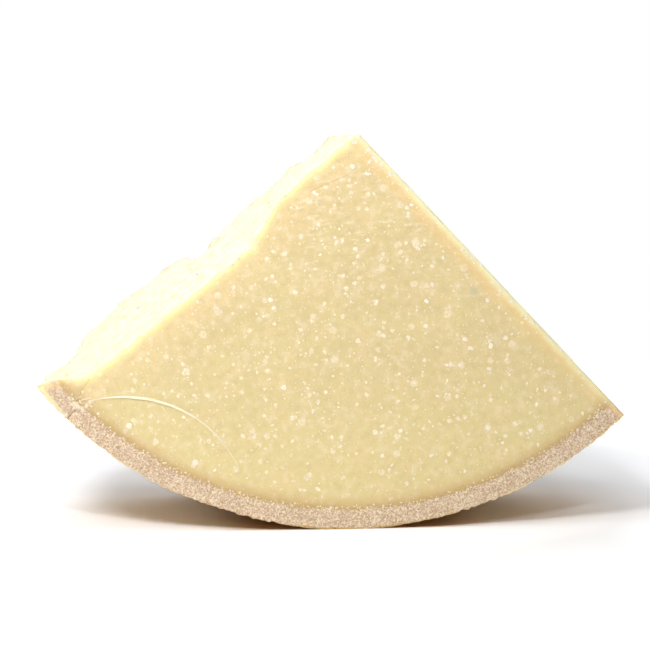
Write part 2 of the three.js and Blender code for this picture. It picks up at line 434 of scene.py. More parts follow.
def wheelSector():
    centre = Vector((0.0, 0.0, wheel["axisHeight"]))
    start = math.radians(cutSide["angle"] + rind["spare"])
    end = math.radians(brokenSide["angle"] - rind["spare"])
    sweep = start - end
    steps = round(sweep * wheel["radius"] / rind["arcStep"])
    bm = bmesh.new()
    places = [(0.0, depth, wheel["axisHeight"] - radius) for radius, depth in wheelProfile()]
    spinProfile(bm, places, centre, -start, sweep, steps)
    bmesh.ops.remove_doubles(bm, verts=bm.verts, dist=0.001)
    bmesh.ops.recalc_face_normals(bm, faces=bm.faces)
    wearRind(bm)
    for height, up in ((0.0, -1.0), (wheel["tipTop"], 1.0)):
        bmesh.ops.bisect_plane(
            bm, geom=bm.verts[:] + bm.edges[:] + bm.faces[:], dist=0.0001,
            plane_co=(0.0, 0.0, height), plane_no=(0.0, 0.0, up), clear_outer=True,
        )
        fillHoles(bm)
    return newObject("cheese_body", bm)


def wearRind(bm):
    places = np.array([vert.co for vert in bm.verts])
    across, depth = places[:, 0], places[:, 1]
    down = wheel["axisHeight"] - places[:, 2]
    turn = np.arctan2(across, down)
    skirt = wheel["radius"] - wheel["shoulder"]
    onRim = smoothStep(np.hypot(across, down), skirt - 2.0, skirt + 6.0)
    change = rimRelief(turn * wheel["radius"], depth - frontY, np.degrees(turn)) * onRim
    grain = rind["plateGrain"]
    plate = wornAway(places, rind["plateWear"], 2, 11.0)
    plate = plate + noiseRelief(places, grain, 2, 12.0) + grain["deep"] / 2
    plate = plate * (depth > backY - 1.0) * (1 - onRim)
    for vert, angle, outward, inward in zip(bm.verts, turn, change, plate):
        vert.co += Vector((math.sin(angle), 0.0, -math.cos(angle))) * outward
        vert.co.y -= inward


def mendSurface(bm):  # takes out the few folded triangles that the cuts leave, and closes the gaps
    ragged = [vert for edge in bm.edges if not edge.is_manifold for vert in edge.verts]
    folded = {face for vert in ragged for face in vert.link_faces}
    bmesh.ops.delete(bm, geom=list(folded), context="FACES")
    bmesh.ops.triangulate(bm, faces=fillHoles(bm))
    bmesh.ops.recalc_face_normals(bm, faces=bm.faces)


# The whole chunk as one mesh
chunk = {
    "edgeAngle": 38.0,
    "weld": 0.03,
    "mends": 4,
    "softenings": 6,  # steps of smoothing that the hollows are told by
}


def carve(body, cutter):
    cut = body.modifiers.new(cutter.name, "BOOLEAN")
    cut.operation = "INTERSECT"
    cut.solver = "MANIFOLD"
    cut.object = cutter
    mesh = bake(body)
    body.modifiers.clear()
    body.data = mesh
    print("after", cutter.name, len(body.data.polygons), "faces")
    bpy.data.objects.remove(cutter)


def cleanCuts(body):  # leaves triangles without gaps
    bm = bmesh.new()
    bm.from_mesh(body.data)
    bmesh.ops.triangulate(bm, faces=bm.faces)
    bmesh.ops.remove_doubles(bm, verts=bm.verts, dist=chunk["weld"])
    bmesh.ops.dissolve_degenerate(bm, edges=bm.edges, dist=0.001)
    for _ in range(chunk["mends"]):
        mendSurface(bm)
    bm.to_mesh(body.data)
    bm.free()


def makeChunk(broken, cut):
    body = wheelSector()
    print("wheel sector:", len(body.data.polygons), "faces")
    for cutter in (broken.block("brokenBlock"), cut.block("cutBlock"), frontBlock(broken, cut)):
        carve(body, cutter)
    cleanCuts(body)
    body.data.vertices.foreach_set("co", np.clip(meshPlaces(body), boxLow, boxHigh).ravel())
    writeMaps(body, broken, cut)
    finishMesh(body, chunk["edgeAngle"])
    return body


def writeMaps(body, broken, cut):  # distances in from the sides, and how sunken a place of the broken side is, which its painted shade follows
    places = meshPlaces(body)
    along, behind, depth = broken.measure(places)
    writeAttribute(body, "fromBroken", depth)
    writeAttribute(body, "fromCut", cut.measure(places)[2])
    sunken = broken.heights.copy()
    for _ in range(chunk["softenings"]):
        for axis in (0, 1):
            sunken = (np.roll(sunken, 1, axis) + sunken + np.roll(sunken, -1, axis)) / 3
    writeAttribute(body, "sunken", broken.sample(sunken - broken.heights, along, behind))


def meshPlaces(piece):
    places = np.empty(len(piece.data.vertices) * 3)
    piece.data.vertices.foreach_get("co", places)
    return places.reshape(-1, 3)


closest = 0.0005  # points nearer than this to each other become one


def finishMesh(piece, edgeAngle):  # to metres, with smooth faces between sharp edges
    bm = bmesh.new()
    bm.from_mesh(piece.data)
    bmesh.ops.remove_doubles(bm, verts=bm.verts, dist=closest)
    bmesh.ops.dissolve_degenerate(bm, dist=closest, edges=bm.edges)
    bmesh.ops.triangulate(bm, faces=bm.faces)
    bmesh.ops.scale(bm, vec=(metres, metres, metres), verts=bm.verts)
    for face in bm.faces:
        face.smooth = True
    openEdges = sum(1 for edge in bm.edges if not edge.is_manifold)
    print(piece.name, len(bm.faces), "triangles,", openEdges, "open edges")
    bm.to_mesh(piece.data)
    bm.free()
    piece.data.set_sharp_from_angle(angle=math.radians(edgeAngle))


class Value:  # a shader socket that adds and multiplies like a number
    def __init__(self, shader, socket):
        self.shader = shader
        self.socket = socket

    def math(self, operation, *others):
        return self.shader.node("ShaderNodeMath", {"operation": operation}, dict(enumerate((self, *others))))

    def __add__(self, other):
        return self.math("ADD", other)

    def __sub__(self, other):
        return self.math("SUBTRACT", other)

    def __rsub__(self, other):
        return self.shader.node("ShaderNodeMath", {"operation": "SUBTRACT"}, {0: other, 1: self})

    def __mul__(self, other):
        return self.math("MULTIPLY", other)

    __radd__ = __add__
    __rmul__ = __mul__


class Shader:
    def __init__(self, name):
        self.material = bpy.data.materials.new(name)
        self.material.use_nodes = True
        self.tree = self.material.node_tree
        self.surface = self.tree.nodes["Principled BSDF"]
        self.place = self.grown(self.node("ShaderNodeTexCoord", output=3), 1.0 / metres)

    def node(self, kind, settings=None, sockets=None, output=0):
        made = self.tree.nodes.new(kind)
        for key, setting in (settings or {}).items():
            setattr(made, key, setting)
        for key, value in (sockets or {}).items():
            self.put(made.inputs[key], value)
        return Value(self, made.outputs[output])

    def put(self, socket, value):
        if isinstance(value, Value):
            self.tree.links.new(value.socket, socket)
        elif socket.type == "RGBA":
            socket.default_value = (*value, 1.0)
        else:
            socket.default_value = value

    def mix(self, share, first, second):
        return self.node("ShaderNodeMix", {"data_type": "RGBA"}, {0: share, 6: first, 7: second}, 2)

    def soft(self, value, low, high):  # 0 at low, 1 at high
        return self.node(
            "ShaderNodeMapRange", {"interpolation_type": "SMOOTHSTEP"},
            {0: value, 1: low, 2: high, 3: 0.0, 4: 1.0},
        )

    def vector(self, operation, first, second=(0.0, 0.0, 0.0), output=0):
        return self.node("ShaderNodeVectorMath", {"operation": operation}, {0: first, 1: second}, output)

    def grown(self, vector, factor):
        return self.node("ShaderNodeVectorMath", {"operation": "SCALE"}, {0: vector, "Scale": factor})

    def length(self, vector):
        return self.vector("LENGTH", vector, output=1)

    def parts(self, vector):
        split = self.node("ShaderNodeSeparateXYZ", {}, {0: vector}).socket.node
        return [Value(self, output) for output in split.outputs]

    def noise(self, wavelength, detail=2.0, place=None, output=0):
        sockets = {"Vector": place or self.place, "Scale": 1.0 / wavelength, "Detail": detail}
        return self.node("ShaderNodeTexNoise", {}, sockets, output)

    def swing(self, size, wavelength, detail):  # noise about nought, from minus to plus half the size
        return (self.noise(wavelength, detail) - 0.5) * size

    def patches(self, wavelength, low, high, detail=2.0):  # soft spots of noise: 0 at low, 1 at high
        return self.soft(self.noise(wavelength, detail), low, high)

    def cells(self, place, size):  # distance from the nearest cell's middle, and that cell's three draws
        made = self.node("ShaderNodeTexVoronoi", {"feature": "F1"}, {"Vector": place, "Scale": 1.0 / size})
        return made, self.parts(Value(self, made.socket.node.outputs[1]))

    def attribute(self, name):
        return self.node("ShaderNodeAttribute", {"attribute_name": name}, {}, 2)

    def bump(self, height, strength):  # height in millimetres
        sockets = {"Strength": strength, "Distance": metres, "Height": height}
        return self.node("ShaderNodeBump", {}, sockets)

    def finish(self, sockets):
        for key, value in sockets.items():
            self.put(self.surface.inputs[key], value)
        return self.material


brightness = 1.09  # of the lamps: what is picked from a screen is that much darker in itself


def fromScreen(red, green, blue):  # a colour picked on screen, as light
    return tuple(((c / 255 + 0.055) / 1.055) ** 2.4 / brightness for c in (red, green, blue))


cheeseLook = {
    "paste": fromScreen(226, 206, 152),
    # pasteWarm is also the warm fringe of the painted glow by the broken side; glow, cutGlow and cutWarm are
    # painted light shining through the edges
    "pasteWarm": fromScreen(240, 214, 161),
    "pasteCool": fromScreen(234, 216, 157),
    "glow": fromScreen(255, 237, 170),
    "cutGlow": fromScreen(255, 247, 198),
    "cutWarm": fromScreen(250, 214, 147),
    "brokenPaste": fromScreen(252, 244, 217),
    # the next colour is painted shade in the broken side's hollows, and also the colour of its lines
    "brokenShadeAndLines": fromScreen(248, 230, 164),
    "speck": fromScreen(255, 247, 222),
    "crystal": fromScreen(253, 237, 213),
    "crystalBright": fromScreen(255, 250, 234),
    "shadow": fromScreen(206, 182, 130),
    "nearRind": fromScreen(212, 175, 115),
    "bandEdge": fromScreen(194, 154, 102),
    "band": fromScreen(222, 190, 158),
    "bandPit": fromScreen(192, 152, 116),
    "bandGrain": fromScreen(250, 231, 204),
    "bandGrey": fromScreen(218, 194, 162),
    # the next colour is the band's paler edge: partly wear, partly painted glow
    "bandGlowAndWear": fromScreen(246, 214, 156),
    "skin": fromScreen(218, 176, 104),
    "skinDark": fromScreen(190, 143, 78),
    "skinEdge": fromScreen(220, 178, 112),
    "skinPale": fromScreen(254, 238, 186),
    "skinMark": fromScreen(112, 80, 40),
    "bruise": fromScreen(196, 196, 176),
    "bruiseAt": (65.3, 126.9, 3.2),
    "scratch": ((-22.0, 179.6), (-1.7, 188.3), 0.4),  # from, to and half width
    "bandDepth": 11.0,
    "skinDepth": 1.5,
    "shadeDepth": 9.0,
    "crystalSizes": [  # cell, largest share of it and faintest
        (8.6, 0.26, 0.35), (4.4, 0.29, 0.35), (2.2, 0.22, 0.15),
    ],
    "subsurface": 0.5,
    "subsurfaceReach": 0.0013,
}


class CheeseShader(Shader):  # each layer is painted over the ones before it
    def __init__(self, name):
        super().__init__(name)
        self.colour = cheeseLook["paste"]
        self.across, self.depth, self.up = self.parts(self.place)
        self.flat = self.vector("MULTIPLY", self.place, (1.0, 0.0, 1.0))
        self.inside = self.measureInside()
        self.fromBroken, self.fromCut = self.attribute("fromBroken"), self.attribute("fromCut")
        self.onBroken = self.soft(self.fromBroken, 1.2, 0.3)
        self.onFront = self.soft(self.depth, frontY + 4.0, frontY + 2.0)
        self.nearFront = self.soft(self.depth, frontY + 8.0, frontY + 2.5)

    def paint(self, share, name):
        self.colour = self.mix(share, self.colour, cheeseLook[name])

    def measureInside(self):  # distance in from the rim, the plate and the rounding between them
        centre = (0.0, 0.0, wheel["axisHeight"])
        radius = self.length(self.vector("SUBTRACT", self.flat, centre))
        fromRim, fromPlate, rounding = wheel["radius"] - radius, backY - self.depth, wheel["shoulder"]
        aside = [(rounding - distance).math("MAXIMUM", 0.0) for distance in (fromRim, fromPlate)]
        corner = (aside[0] * aside[0] + aside[1] * aside[1]).math("SQRT")
        deeper = (fromRim.math("MINIMUM", fromPlate) - rounding).math("MAXIMUM", 0.0)
        return rounding - corner + deeper

    def fromSpot(self, across, up):  # distance from a spot of the cut plane
        return self.length(self.vector("SUBTRACT", self.flat, (across, 0.0, up)))

    def lineMask(self, start, end, halfWidth):  # 1 on a straight line in the cut plane, 0 away from it
        line = Vector((end[0] - start[0], 0.0, end[1] - start[1]))
        fromStart = self.vector("SUBTRACT", self.flat, (start[0], 0.0, start[1]))
        share = self.vector("DOT_PRODUCT", fromStart, tuple(line / line.length_squared), 1)
        share = share.math("MAXIMUM", 0.0).math("MINIMUM", 1.0)
        away = self.length(self.vector("SUBTRACT", fromStart, self.grown(tuple(line), share)))
        return self.soft(away, halfWidth, halfWidth * 0.3)

    def paintPaste(self):  # painted warm glow in from the broken side's edge, warmer towards the tip, greener low down
        self.paint(self.soft(self.up, 95.0, 40.0) * 0.8, "pasteCool")
        # painted light: a warm fringe of the glow in from the broken edge, plus warmth towards the tip
        warmGlowAndTip = self.soft(self.fromBroken, 24.0, 5.0) * 0.7 + self.soft(self.up, 110.0, 200.0) * 0.35
        self.paint(warmGlowAndTip, "pasteWarm")
        self.paint(self.patches(26.0, 0.42, 0.75) * 0.5, "pasteCool")
        self.paint(self.patches(11.0, 0.48, 0.68) * 0.4, "pasteWarm")

    def paintStreaks(self):  # left by the cutting wire
        bow = self.fromSpot(*frontFace["drag"]["bow"])
        lines = self.node("ShaderNodeCombineXYZ", {}, {0: self.across * 0.3, 1: self.depth * 0.3, 2: bow})
        self.streak = self.noise(1.5, 3.0, lines)
        self.dragged = self.soft(self.up, 105.0, 175.0) * self.onFront * self.patches(14.0, 0.3, 0.6)
        self.paint(self.soft(self.streak, 0.54, 0.68) * self.dragged * 0.4, "speck")
        self.paint(self.soft(self.streak, 0.47, 0.34) * self.dragged * 0.2, "shadow")

    def paintMottle(self):
        self.mottle = self.noise(4.5, 3.0)
        self.paint(self.soft(self.mottle, 0.50, 0.70) * 0.28, "crystal")
        self.paint(self.soft(self.mottle, 0.48, 0.30) * 0.22, "shadow")
        dustier = 0.2 + self.patches(8.0, 0.35, 0.65)
        self.paint(self.patches(0.9, 0.62, 0.72, 1.0) * dustier * 0.45, "speck")

    def paintCrystals(self):  # pale lumps of every size, some bright and some faint
        wobble = self.vector("SUBTRACT", self.noise(1.7, 3.0, output=1), (0.5, 0.5, 0.5))
        wobbled = self.vector("ADD", self.place, self.grown(wobble, 2.4))
        breaks = self.noise(1.1)
        self.crystal, bright = 0.0, 0.0
        for cell, largest, faintest in cheeseLook["crystalSizes"]:
            fromMiddle, draws = self.cells(wobbled, cell)
            strength = between(faintest, 1.0, draws[1])
            lump = self.soft(fromMiddle - draws[0] * largest, 0.05, -0.03) * strength
            self.crystal = lump.math("MAXIMUM", self.crystal)
            bright = (lump * self.soft(draws[2], 0.45, 1.0)).math("MAXIMUM", bright)
        self.paint(self.crystal * self.soft(breaks, 0.25, 0.5), "crystal")
        self.paint(bright * self.soft(breaks, 0.48, 0.58), "crystalBright")

    def paintEdges(self):  # painted glow of light through the edges, and the broken side is paler
        # painted light: a pale glow along the broken side's edge
        self.paint(self.soft(self.fromBroken, 7.0, 1.4) * 0.9, "glow")
        glowDistance = self.fromCut + self.swing(4.0, 8.0, 3.0)
        upper = 0.6 + self.soft(self.up, 50.0, 140.0) * 0.4
        # painted warm glow a little in from the cut edge, stronger higher up
        self.paint(self.soft(glowDistance, 12.0, 4.0) * self.nearFront * upper * 0.5, "cutWarm")
        self.cutEdge = self.soft(glowDistance, 5.2, 0.3) * self.nearFront
        # painted light: the cut edge glows pale
        self.paint(self.cutEdge * upper, "cutGlow")
        leaves = self.vector("MULTIPLY", self.place, (0.3, 1.0, 0.3))
        leaf = self.soft(self.noise(2.2, 3.0, leaves), 0.52, 0.66)
        # painted shade: the broken side is deeper yellow where it is sunken, and along its foliation lines
        hollowShadeAndLines = self.soft(self.attribute("sunken"), 0.1, 0.9).math("MAXIMUM", leaf * 0.8)
        side = self.mix(hollowShadeAndLines * 0.8, cheeseLook["brokenPaste"], cheeseLook["brokenShadeAndLines"])
        self.colour = self.mix(self.onBroken, self.colour, side)

    def paintMarks(self):  # a faint bruise, a scratch, and painted shade along the crack that runs in from the rind
        bruiseAcross, bruiseUp, bruiseRadius = cheeseLook["bruiseAt"]
        bruise = self.soft(self.fromSpot(bruiseAcross, bruiseUp), bruiseRadius, 0.4)
        self.paint(bruise * self.onFront * 0.5, "bruise")
        self.paint(self.lineMask(*cheeseLook["scratch"]) * self.onFront * 0.5, "nearRind")
        # painted shade: the crack's line is darkened as if shade lay inside it
        crack = frontFace["crack"]
        for start, end in zip(crack[1:], crack[2:]):
            self.paint(self.lineMask(start, end, 0.45) * self.onFront * 0.4, "nearRind")

    def bandColour(self):  # greyer in the middle, and paler at both ends: partly worn, partly the edges' painted glow
        look, grain = cheeseLook, self.grain
        greyer = self.soft(self.across, -110.0, -20.0) * self.soft(self.across, 120.0, 50.0) * 0.5
        band = self.mix(greyer, look["band"], look["bandGrey"])
        band = self.mix(self.soft(grain, 0.46, 0.64), band, look["bandGrain"])
        band = self.mix(self.soft(grain, 0.46, 0.30) * 0.85, band, look["bandPit"])
        band = self.mix(self.patches(4.0, 0.6, 0.35) * 0.25, band, look["bandPit"])
        # partly painted light: the band takes the edges' glow where they are worn
        glowAndWear = self.cutEdge.math("MAXIMUM", self.soft(self.fromBroken, 7.0, 1.0))
        band = self.mix(glowAndWear * 0.85, band, look["bandGlowAndWear"])
        return self.mix(self.onBroken * 0.7, band, look["brokenPaste"])

    def paintBand(self):  # the paste darkens towards the granular band
        start, shadeDepth = cheeseLook["bandDepth"], cheeseLook["shadeDepth"]
        edge = self.inside + self.swing(3.6, 6.0, 4.0) + self.swing(3.4, 1.9, 3.0)
        shade = self.soft(self.inside, start + shadeDepth, start) * 0.7 * (1 - self.onBroken * 0.8)
        self.paint(shade * (1 - self.cutEdge * 0.7), "nearRind")
        atBand = self.soft(edge, start + 3.4, start + 0.4) * 0.45 * (1 - self.onBroken)
        self.paint(atBand * (1 - self.cutEdge * 0.7), "bandEdge")
        self.inBand = self.soft(edge, start + 0.4, start - 0.4).math("MAXIMUM", self.attribute("ofRind"))
        self.grain = self.noise(0.8, 3.0)
        self.colour = self.mix(self.inBand, self.colour, self.bandColour())
        tone = self.attribute("tone")
        self.paint(self.soft(tone, 0.2, 1.0) * self.inBand, "bandGrain")
        self.paint(self.soft(tone, -0.2, -1.0) * self.inBand * 0.7, "bandPit")

    def skinColour(self):  # blotchy, with its own colours where it is cut through at the front
        look = cheeseLook
        skin = self.mix(self.patches(16.0, 0.4, 0.75, 4.0) * 0.45, look["skin"], look["skinDark"])
        skin = self.mix(self.patches(3.0, 0.5, 0.68, 4.0) * 0.4, skin, look["skinDark"])
        towardsEnds = self.soft((self.across + 20.0).math("ABSOLUTE"), 60.0, 125.0)
        edgeOn = self.mix(towardsEnds, look["skinEdge"], look["skinPale"])
        marks = self.patches(3.4, 0.64, 0.70, 1.0) * self.soft(self.across, -90.0, -30.0)
        edgeOn = self.mix(marks * 0.8, edgeOn, look["skinMark"])
        return self.mix(self.soft(self.depth, frontY + 2.0, frontY + 0.6) * 0.9, skin, edgeOn)

    def paintSkin(self):
        wider = self.soft(self.across, -146.0, -158.0) * 2.4 - 0.3
        edge = self.inside + self.swing(1.8, 2.5, 2.0) - wider * self.onFront
        self.onSkin = self.soft(edge, cheeseLook["skinDepth"] + 0.3, cheeseLook["skinDepth"] - 0.3)
        self.colour = self.mix(self.onSkin * (1 - self.onBroken * 0.6), self.colour, self.skinColour())

    def relief(self):
        height = (self.mottle - 0.5) * 0.1 + self.crystal * 0.1 + self.streak * self.dragged * 0.08
        height = height + self.grain * 0.4 * self.inBand * (1 - self.onSkin)
        height = height + self.swing(0.5, 0.9, 2.0) * self.onBroken
        return height + self.noise(4.0, 5.0) * 0.5 * self.onSkin


def cheeseMaterial(name, subsurface):
    shader = CheeseShader(name)
    shader.paintPaste()
    shader.paintStreaks()
    shader.paintMottle()
    shader.paintCrystals()
    shader.paintEdges()
    shader.paintMarks()
    shader.paintBand()
    shader.paintSkin()
    shader.paint(shader.attribute("pale"), "bandGrain")
    shader.paint(shader.attribute("white"), "crystalBright")
    return shader.finish({
        "Base Color": shader.colour,
        "Roughness": 0.5 + shader.inBand * 0.3 - shader.onSkin * 0.3,
        "Normal": shader.bump(shader.relief(), 0.7),
        "Subsurface Weight": subsurface,
        "Subsurface Radius": (1.0, 0.85, 0.6),
        "Subsurface Scale": cheeseLook["subsurfaceReach"],
        "IOR": 1.42,
    })


crystalLook = {
    "clear": fromScreen(251, 233, 210),
    "chalky": fromScreen(254, 245, 227),
}


def crystalMaterial():
    shader = Shader("crystal")
    grain = shader.noise(0.9, 3.0)
    chalk = shader.soft(shader.attribute("tone") + (grain - 0.5) * 2.0, -0.6, 0.8)
    return shader.finish({
        "Base Color": shader.mix(chalk, crystalLook["clear"], crystalLook["chalky"]),
        "Roughness": 0.55 - chalk * 0.15,
        "Normal": shader.bump(grain * 0.3, 0.6),
        "IOR": 1.45,
    })


# Small lumps scattered over the chunk, each kind as one joined mesh. Sizes are half widths.
lumps = {
    "rind_grains": {
        "front": 3300, "cut": 700, "broken": 0, "small": 0.28, "large": 0.72, "flat": 0.9,
        "detail": 1, "jitter": 0.22, "seed": 21,
    },
    "crystals": {
        "front": 160, "cut": 70, "broken": 50, "small": 0.4, "large": 1.4, "flat": 0.1,
        "detail": 2, "jitter": 0.14, "seed": 22,
    },
    "specks": {
        "front": 300, "cut": 900, "broken": 600, "small": 0.22, "large": 0.55, "flat": 0.22,
        "detail": 1, "jitter": 0.2, "seed": 23,
    },
}
lumpLean = 2.5  # how much more a lump is shaded like the face it sits in than by its own form
farInside = 50.0  # lumps, crumbs and shavings are coloured as if this far in from the cut side
# The crystals that stand out on the cut face: across, up and half width
largeCrystals = [
    (8.2, 188.7, 2.1), (27.6, 166.8, 1.7), (-8.1, 152.8, 1.5), (2.2, 149.5, 1.6), (-18.1, 178.0, 1.6),
    (28.9, 152.8, 1.7), (27.3, 145.3, 1.7), (42.8, 130.6, 1.6), (13.4, 121.5, 1.9), (40.0, 121.7, 1.8),
    (-42.8, 122.9, 1.8), (60.6, 101.4, 2.2), (63.2, 96.5, 1.9), (53.0, 87.9, 1.6), (73.1, 53.6, 2.3),
]


def sideOf(places, broken, cut):  # which face each place lies on
    onFront, behindEdge = places[:, 1] < frontY + 1.0, places[:, 1] > frontY + 5.0
    fromBroken, fromCut = np.abs(broken.measure(places)[2]), np.abs(cut.measure(places)[2])
    return {
        "front": onFront & (fromBroken > 5.0) & (fromCut > 5.5),
        "broken": behindEdge & (fromBroken < 0.6),
        "cut": behindEdge & (fromCut < 0.6),
    }


def skinDistance(places):
    radius = np.hypot(places[:, 0], places[:, 2] - wheel["axisHeight"])
    return np.minimum(wheel["radius"] - radius, backY - places[:, 1])


class Surface:  # the chunk's triangles, to place things on
    def __init__(self, body, broken, cut):
        mesh = body.data
        corners = np.empty(len(mesh.loops), dtype=int)
        mesh.loops.foreach_get("vertex_index", corners)
        self.corners = (meshPlaces(body) / metres)[corners.reshape(-1, 3)]
        edges = np.cross(self.corners[:, 1] - self.corners[:, 0], self.corners[:, 2] - self.corners[:, 0])
        self.areas = np.linalg.norm(edges, axis=1) / 2
        middles = self.corners.mean(axis=1)
        self.sides = sideOf(middles, broken, cut)
        self.skin = skinDistance(middles)
        self.outwards = {"front": (0.0, -1.0, 0.0), "broken": tuple(broken.normal), "cut": tuple(cut.normal)}

    def spots(self, side, count, deepest, shallowest, draw):
        weights = self.areas * self.sides[side] * (self.skin > shallowest) * (self.skin < deepest)
        chosen = draw.choice(len(weights), size=count, p=weights / weights.sum())
        shares = draw.dirichlet((1.0, 1.0, 1.0), size=count)
        places = (self.corners[chosen] * shares[:, :, None]).sum(axis=1)
        return places, np.tile(self.outwards[side], (count, 1))


def ballShape(detail):
    ball = bmesh.new()
    bmesh.ops.create_icosphere(ball, subdivisions=detail, radius=1.0)
    shape = np.array([vert.co for vert in ball.verts])
    faces = np.array([[vert.index for vert in face.verts] for face in ball.faces])
    ball.free()
    return shape, faces


def lumpPoints(shape, places, outwards, sizes, settings, draw):
    count = len(places)
    local = shape[None] * (1.0 + settings["jitter"] * draw.normal(size=(count, len(shape), 1)))
    local = local * draw.uniform(0.65, 1.35, size=(count, 1, 3)) * sizes[:, None, None]
    local[:, :, 2] *= settings["flat"]
    first = np.cross(outwards, (0.31, 0.47, 0.83))  # a direction that no face points in
    first /= np.linalg.norm(first, axis=1)[:, None]
    second = np.cross(outwards, first)
    spin = draw.uniform(0.0, 2 * math.pi, size=(count, 1))
    sideways = first * np.cos(spin) + second * np.sin(spin)
    onwards = second * np.cos(spin) - first * np.sin(spin)
    axes = np.stack((sideways, onwards, outwards), axis=1)
    world = places[:, None] + np.einsum("nvi,nij->nvj", local, axes)
    return np.clip(world, boxLow + 0.02, boxHigh - 0.02)


def leanNormals(mesh, outwards):
    normals = np.empty(len(mesh.vertices) * 3)
    mesh.vertices.foreach_get("normal", normals)
    lean = outwards * lumpLean + normals.reshape(-1, 3)
    lean /= np.linalg.norm(lean, axis=1)[:, None]
    mesh.normals_split_custom_set_from_vertices(lean)


def joinLumps(name, places, outwards, sizes, settings, draw):
    shape, faces = ballShape(settings["detail"])
    count = len(places)
    world = lumpPoints(shape, places, outwards, sizes, settings, draw)
    every = (faces[None] + (np.arange(count) * len(shape))[:, None, None]).reshape(-1, 3)
    mesh = bpy.data.meshes.new(name)
    mesh.from_pydata(world.reshape(-1, 3) * metres, [], every.tolist())
    mesh.shade_smooth()
    leanNormals(mesh, np.repeat(outwards, len(shape), axis=0))
    piece = addObject(name, mesh)
    writeAttribute(piece, "tone", np.repeat(draw.normal(0.0, 0.6, size=count), len(shape)))
    print(name, len(mesh.polygons), "triangles")
    return piece


def scatterLumps(name, surface):
    settings = lumps[name]
    draw = np.random.default_rng(settings["seed"])
    band = cheeseLook["bandDepth"]
    deepest, shallowest = (band + 1.8, 0.1) if name == "rind_grains" else (400.0, band + 1.5)
    groups = [
        surface.spots(side, settings[side], deepest, shallowest, draw)
        for side in ("front", "cut", "broken") if settings[side]
    ]
    places, outwards = (np.concatenate(part) for part in zip(*groups))
    share = draw.power(0.6, size=len(places)) if name == "crystals" else draw.uniform(size=len(places)) ** 2
    sizes = between(settings["small"], settings["large"], share)
    if name == "crystals":
        named = np.array(largeCrystals)
        places = np.vstack((places, np.column_stack((named[:, 0], np.full(len(named), frontY), named[:, 1]))))
        outwards = np.vstack((outwards, np.tile((0.0, -1.0, 0.0), (len(named), 1))))
        sizes = np.concatenate((sizes, named[:, 2] * 0.8))
    sunk = sizes * settings["flat"] * draw.uniform(0.3, 0.8, size=len(places))
    places = places - outwards * sunk[:, None]
    return joinLumps(name, places, outwards, sizes, settings, draw)


# Crumbs lie along the worn edges, at the tip and heaped round the crack: across, up, spread and count
crumbs = {
    "paleness": 0.5,  # coloured as this far in from the broken side: its pale colour and the painted edge glow
    "whiter": (-134.0, 0.65, 0.25),  # left of here they are this pale, and elsewhere this
    "white": (0.0, 105.0, 0.65),  # right of and above here they are this white
    "heaps": [
        (-144.8, 69.4, 1.3, 20), (-142.0, 67.6, 1.6, 16), (-137.0, 69.6, 1.5, 6), (-149.6, 63.4, 0.7, 8),
        (8.3, 201.2, 0.8, 6), (11.8, 196.8, 0.7, 6), (9.7, 195.8, 0.7, 4), (20.4, 188.4, 0.9, 6),
        (0.9, 205.2, 0.8, 5), (8.2, 188.7, 0.9, 7), (33.0, 173.7, 1.6, 5), (61.3, 146.1, 0.5, 3),
        (85.9, 121.8, 0.6, 4), (93.8, 112.1, 0.6, 4), (-19.8, 74.0, 0.5, 2),
    ],
    "alongEdges": 70,
    "small": 0.3,
    "large": 1.05,
    "flat": 0.6,
    "detail": 2,
    "jitter": 0.16,
    "seed": 31,
}


def alongEdge(side, draw):  # places across and up, a little in from where a side meets the cut face
    count = crumbs["alongEdges"]
    along = draw.uniform(2.0, side.length - 6.0, size=count)
    edge = side.sample(side.heights, along, np.full(count, 1.0))
    inwards = edge - draw.uniform(1.0, 2.8, size=count)
    points = np.array(side.tip) + along[:, None] * np.array(side.along)
    points = points + inwards[:, None] * np.array(side.normal)
    return points[:, (0, 2)]


def makeCrumbs(broken, cut):
    draw = np.random.default_rng(crumbs["seed"])
    flat = []
    for across, up, spread, count in crumbs["heaps"]:
        flat.append(draw.normal((across, up), spread, size=(count, 2)))
    for side in (broken, cut):
        flat.append(alongEdge(side, draw))
    flat = np.vstack(flat)
    places = np.column_stack((flat[:, 0], np.full(len(flat), frontY), flat[:, 1]))
    nearEdge = np.minimum(broken.measure(places)[2], cut.measure(places)[2])
    places[:, 1] += 0.1 + roundOff(nearEdge, np.full(len(flat), 2.4))
    sizes = between(crumbs["small"], crumbs["large"], draw.uniform(size=len(flat)) ** 2)
    outwards = np.tile((0.0, -1.0, 0.0), (len(flat), 1))
    return joinLumps("crumbs", places, outwards, sizes, crumbs, draw)


# The sliver that the wire lifted from the cut face: flush outside, standing proud at its inner edge
sliver = {
    "centre": (-119.3, 7.6),
    "radius": 65.5,
    "from": -17.0,  # degrees clockwise from straight up
    "to": 66.0,
    "steps": 90,
    "thick": 1.5,
    "proud": 1.03,
    "paler": 0.3,
    "root": 1.2,
    "wobble": {"deep": 0.22, "wavelength": 5.0},
    "rises": 0.28,  # share of its length over which it comes out of the face
    "fading": 0.42,  # the lower, the later it thins out towards its other end
    "thinnest": 0.06,
    "edgeAngle": 60.0,
}


